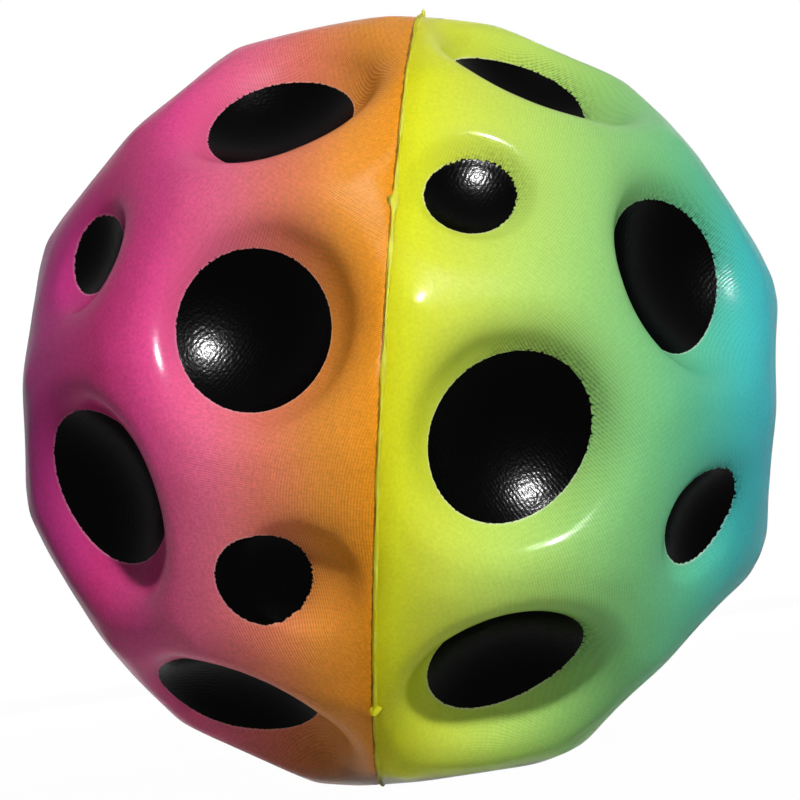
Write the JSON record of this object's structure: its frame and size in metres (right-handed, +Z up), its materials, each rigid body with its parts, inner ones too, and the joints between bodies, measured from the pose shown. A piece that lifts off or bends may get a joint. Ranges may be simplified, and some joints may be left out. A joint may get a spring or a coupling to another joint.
{
  "type": "bouncy ball",
  "caption": "Cratered high-bounce foam ball with a printed rainbow skin, a moulded seam and a black spot on the floor of every crater.",
  "frame": {"origin": "centre of the ball", "axes": "+Z up, through a small crater, with the ball resting on the rim of the small crater opposite; +X toward the yellow and blue half, with the mould's axis 10.8 degrees below X; +Y away from the viewer of the picture"},
  "size_m": [0.0694, 0.0702, 0.0686],
  "materials": {
    "foam": "cream moulded foam, fine closed cells",
    "left_skin": "glossy printed knit, purple at the pole through pink to orange at the seam",
    "right_skin": "glossy printed knit, blue at the pole through green to yellow at the seam",
    "flash": "thin ragged yellow-green foam flash",
    "black_print": "glossy black print with a soft ragged edge"
  },
  "bodies": {
    "root": {"foam_core": "foam", "left_skin": "left_skin", "right_skin": "right_skin", "seam_flash": "flash", "left_large_spot_1": "black_print", "left_large_spot_2": "black_print", "left_large_spot_3": "black_print", "left_large_spot_4": "black_print", "left_large_spot_5": "black_print", "left_large_spot_6": "black_print", "left_large_spot_7": "black_print", "left_large_spot_8": "black_print", "left_large_spot_9": "black_print", "left_large_spot_10": "black_print", "left_small_spot_1": "black_print", "left_small_spot_2": "black_print", "left_small_spot_3": "black_print", "left_small_spot_4": "black_print", "left_small_spot_5": "black_print", "left_small_spot_6": "black_print", "right_large_spot_1": "black_print", "right_large_spot_2": "black_print", "right_large_spot_3": "black_print", "right_large_spot_4": "black_print", "right_large_spot_5": "black_print", "right_large_spot_6": "black_print", "right_large_spot_7": "black_print", "right_large_spot_8": "black_print", "right_large_spot_9": "black_print", "right_large_spot_10": "black_print", "right_small_spot_1": "black_print", "right_small_spot_2": "black_print", "right_small_spot_3": "black_print", "right_small_spot_4": "black_print", "right_small_spot_5": "black_print", "right_small_spot_6": "black_print"}
  },
  "joints": []
}
